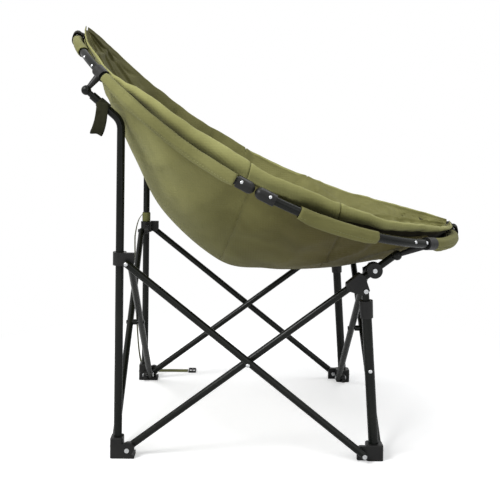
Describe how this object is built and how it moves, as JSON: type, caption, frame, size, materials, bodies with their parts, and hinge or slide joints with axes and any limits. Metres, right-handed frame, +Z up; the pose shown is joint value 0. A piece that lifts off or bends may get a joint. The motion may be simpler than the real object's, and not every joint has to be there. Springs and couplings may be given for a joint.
{
  "type": "folding saucer chair",
  "caption": "Folding round chair: a padded fabric bowl on a tubular ring, held by crossed braces, posts and telescoping front legs that fold to a bundle.",
  "frame": {"origin": "on the floor under the centre of the open chair's bounding box", "axes": "+Z up, the sitter faces -Y, the sitter's right is -X"},
  "size_m": [0.9134, 0.9586, 0.9758],
  "materials": {
    "tube": "satin",
    "moulding": "matt",
    "rivet": "brushed",
    "shell_fabric": "matt",
    "cushion_fabric": "matt",
    "sleeve_fabric": "matt",
    "webbing": "matt",
    "dark_webbing": "matt"
  },
  "bodies": {
    "seat": {"seat_base_shell": "shell_fabric", "seat_base_cushion": "cushion_fabric"},
    "seat_back": {"seat_back_shell": "shell_fabric", "seat_back_cushion": "cushion_fabric"},
    "seat_pan": {"seat_pan_shell": "shell_fabric", "seat_pan_cushion": "cushion_fabric"},
    "corner_rear_right": {"rear_post_right": "tube", "rear_foot_right": "moulding", "rear_foot_pins_right": "rivet", "carry_loop": "dark_webbing"},
    "slider_right": {"slider_right": "moulding"},
    "corner_front_right": {"front_foot_right": "moulding", "front_foot_pins_right": "rivet", "front_leg_outer_right": "tube", "front_leg_collar_right": "moulding"},
    "leg_right": {"front_leg_inner_right": "tube"},
    "long_brace_right": {"long_side_brace_right": "tube", "leg_plate_right": "moulding", "long_brace_rivets_right": "rivet", "brace_clip_right": "moulding"},
    "short_brace_right": {"short_side_brace_right": "tube"},
    "rear_brace_right": {"rear_brace_right": "tube"},
    "front_brace_right": {"front_brace_right": "tube"},
    "ring_rear_right": {"ring_tube_rear_right": "tube", "ring_knuckles_rear_right": "moulding", "ring_bracket_rear_right": "moulding", "ring_sleeves_rear_right": "sleeve_fabric"},
    "ring_front_right": {"ring_tube_front_right": "tube", "ring_knuckles_front_right": "moulding", "ring_bracket_front_right": "moulding", "ring_sleeves_front_right": "sleeve_fabric"},
    "corner_rear_left": {"rear_post_left": "tube", "rear_foot_left": "moulding", "rear_foot_pins_left": "rivet"},
    "slider_left": {"slider_left": "moulding", "closure_strap": "webbing", "strap_buckle": "moulding"},
    "corner_front_left": {"front_foot_left": "moulding", "front_foot_pins_left": "rivet", "front_leg_outer_left": "tube", "front_leg_collar_left": "moulding"},
    "leg_left": {"front_leg_inner_left": "tube"},
    "long_brace_left": {"long_side_brace_left": "tube", "leg_plate_left": "moulding", "long_brace_rivets_left": "rivet", "brace_clip_left": "moulding"},
    "short_brace_left": {"short_side_brace_left": "tube"},
    "rear_brace_left": {"rear_brace_left": "tube"},
    "front_brace_left": {"front_brace_left": "tube"},
    "ring_rear_left": {"ring_tube_rear_left": "tube", "ring_knuckles_rear_left": "moulding", "ring_bracket_rear_left": "moulding", "ring_sleeves_rear_left": "sleeve_fabric"},
    "ring_front_left": {"ring_tube_front_left": "tube", "ring_knuckles_front_left": "moulding", "ring_bracket_front_left": "moulding", "ring_sleeves_front_left": "sleeve_fabric"}
  },
  "joints": [
    {"name": "fold", "type": "slide", "parent": "seat", "child": "corner_rear_right", "axis": [0.7601, -0.6498, 0], "range_m": [0, 0.17103], "deforming": ["seat_base_shell", "seat_base_cushion", "seat_back_shell", "seat_back_cushion", "seat_pan_shell", "seat_pan_cushion"]},
    {"name": "corner_rear_left", "type": "slide", "parent": "seat", "child": "corner_rear_left", "axis": [-0.7601, -0.6498, 0], "range_m": [0, 0.17103]},
    {"name": "corner_front_right", "type": "slide", "parent": "seat", "child": "corner_front_right", "axis": [0.7601, 0.6498, 0], "range_m": [0, 0.17103]},
    {"name": "corner_front_left", "type": "slide", "parent": "seat", "child": "corner_front_left", "axis": [-0.7601, 0.6498, 0], "range_m": [0, 0.17103]},
    {"name": "slider_right", "type": "slide", "parent": "corner_rear_right", "child": "slider_right", "axis": [0, 0, 1], "range_m": [0, 0.18156]},
    {"name": "leg_right", "type": "slide", "parent": "corner_front_right", "child": "leg_right", "axis": [0, 0.0629, 0.998], "range_m": [0, 0.20852]},
    {"name": "long_brace_right", "type": "hinge", "parent": "corner_rear_right", "child": "long_brace_right", "pos_m": [-0.27, 0.303, 0.018], "axis": [-1, 0, 0], "range_deg": [0, 29]},
    {"name": "short_brace_right", "type": "hinge", "parent": "corner_front_right", "child": "short_brace_right", "pos_m": [-0.296, -0.214, 0.016], "axis": [1, 0, 0], "range_deg": [0, 24.98]},
    {"name": "rear_brace_right", "type": "hinge", "parent": "corner_rear_right", "child": "rear_brace_right", "pos_m": [-0.246, 0.3343, 0.018], "axis": [0, -1, 0], "range_deg": [0, 29.16]},
    {"name": "front_brace_right", "type": "hinge", "parent": "corner_front_right", "child": "front_brace_right", "pos_m": [-0.246, -0.2523, 0.016], "axis": [0, -1, 0], "range_deg": [0, 29.88]},
    {"name": "ring_rear_right", "type": "hinge", "parent": "corner_rear_right", "child": "ring_rear_right", "pos_m": [-0.2772, 0.4014, 0.804], "axis": [0.2864, -0.9346, -0.211], "range_deg": [0, 50]},
    {"name": "ring_front_right", "type": "hinge", "parent": "long_brace_right", "child": "ring_front_right", "pos_m": [-0.2814, -0.2835, 0.4493], "axis": [-0.6705, 0.4934, -0.5541], "range_deg": [0, 107.9]},
    {"name": "slider_left", "type": "slide", "parent": "corner_rear_left", "child": "slider_left", "axis": [0, 0, 1], "range_m": [0, 0.18156]},
    {"name": "leg_left", "type": "slide", "parent": "corner_front_left", "child": "leg_left", "axis": [0, 0.0629, 0.998], "range_m": [0, 0.20852]},
    {"name": "long_brace_left", "type": "hinge", "parent": "corner_rear_left", "child": "long_brace_left", "pos_m": [0.27, 0.303, 0.018], "axis": [-1, 0, 0], "range_deg": [0, 29]},
    {"name": "short_brace_left", "type": "hinge", "parent": "corner_front_left", "child": "short_brace_left", "pos_m": [0.296, -0.214, 0.016], "axis": [1, 0, 0], "range_deg": [0, 24.98]},
    {"name": "rear_brace_left", "type": "hinge", "parent": "corner_rear_left", "child": "rear_brace_left", "pos_m": [0.246, 0.3077, 0.018], "axis": [0, 1, 0], "range_deg": [0, 29.16]},
    {"name": "front_brace_left", "type": "hinge", "parent": "corner_front_left", "child": "front_brace_left", "pos_m": [0.246, -0.2257, 0.016], "axis": [0, 1, 0], "range_deg": [0, 29.88]},
    {"name": "ring_rear_left", "type": "hinge", "parent": "corner_rear_left", "child": "ring_rear_left", "pos_m": [0.2772, 0.4014, 0.804], "axis": [0.2864, 0.9346, 0.211], "range_deg": [0, 50]},
    {"name": "ring_front_left", "type": "hinge", "parent": "long_brace_left", "child": "ring_front_left", "pos_m": [0.2814, -0.2835, 0.4493], "axis": [-0.6705, -0.4934, 0.5541], "range_deg": [0, 107.9]},
    {"name": "seat_back", "type": "hinge", "parent": "seat", "child": "seat_back", "pos_m": [0, 0.11, 0.394], "axis": [1, 0, 0], "range_deg": [0, 25]},
    {"name": "seat_pan", "type": "hinge", "parent": "seat", "child": "seat_pan", "pos_m": [0, -0.12, 0.38], "axis": [-1, 0, 0], "range_deg": [0, 72]}
  ],
  "couplings": [
    {"joint": "corner_rear_left", "follows": "fold", "ratio": 1},
    {"joint": "corner_front_right", "follows": "fold", "ratio": 1},
    {"joint": "corner_front_left", "follows": "fold", "ratio": 1},
    {"joint": "slider_right", "follows": "fold", "ratio": 1.0616},
    {"joint": "leg_right", "follows": "fold", "ratio": 1.2192},
    {"joint": "long_brace_right", "follows": "fold", "rad_per_m": 2.9597},
    {"joint": "short_brace_right", "follows": "fold", "rad_per_m": 2.549},
    {"joint": "rear_brace_right", "follows": "fold", "rad_per_m": 2.9758},
    {"joint": "front_brace_right", "follows": "fold", "rad_per_m": 3.0496},
    {"joint": "ring_rear_right", "follows": "fold", "rad_per_m": 5.1024},
    {"joint": "ring_front_right", "follows": "fold", "rad_per_m": 11.011},
    {"joint": "slider_left", "follows": "fold", "ratio": 1.0616},
    {"joint": "leg_left", "follows": "fold", "ratio": 1.2192},
    {"joint": "long_brace_left", "follows": "fold", "rad_per_m": 2.9597},
    {"joint": "short_brace_left", "follows": "fold", "rad_per_m": 2.549},
    {"joint": "rear_brace_left", "follows": "fold", "rad_per_m": 2.9758},
    {"joint": "front_brace_left", "follows": "fold", "rad_per_m": 3.0496},
    {"joint": "ring_rear_left", "follows": "fold", "rad_per_m": 5.1024},
    {"joint": "ring_front_left", "follows": "fold", "rad_per_m": 11.011},
    {"joint": "seat_back", "follows": "fold", "rad_per_m": 2.5512},
    {"joint": "seat_pan", "follows": "fold", "rad_per_m": 7.3475}
  ]
}
